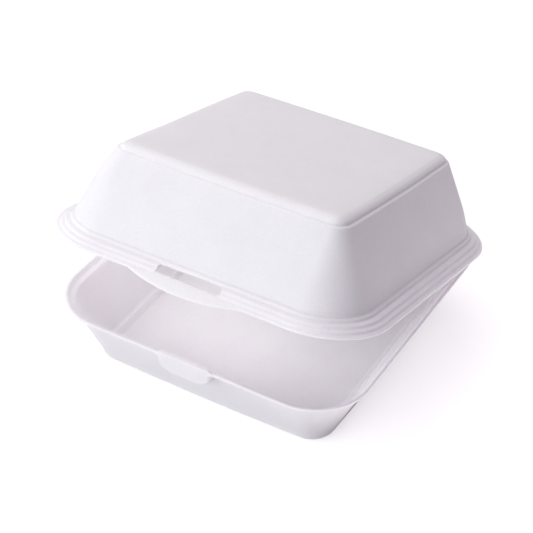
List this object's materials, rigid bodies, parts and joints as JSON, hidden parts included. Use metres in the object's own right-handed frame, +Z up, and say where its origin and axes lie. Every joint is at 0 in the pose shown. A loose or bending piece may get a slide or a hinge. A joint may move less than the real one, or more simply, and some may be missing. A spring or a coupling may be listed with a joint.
{
  "type": "foam clamshell container",
  "caption": "Square hinged foam food box: a shallow tray and a deeper tapering lid joined by a fold at the back, with a slot-and-tongue latch at the front.",
  "frame": {"origin": "centre of the tray's flat underside, where the box stands", "axes": "+Z up; the latch is at the front, -Y; the fold runs along X at the back, +Y"},
  "size_m": [0.15, 0.1485, 0.0996],
  "materials": {
    "foam": "smooth matte expanded foam"
  },
  "bodies": {
    "base": {"base_tray": "foam"},
    "lid": {"lid": "foam"}
  },
  "joints": [
    {"name": "lid_hinge", "type": "hinge", "parent": "base", "child": "lid", "pos_m": [0, 0.0756, 0.0296], "axis": [-1, 0, 0], "range_deg": [-15, 145]}
  ]
}
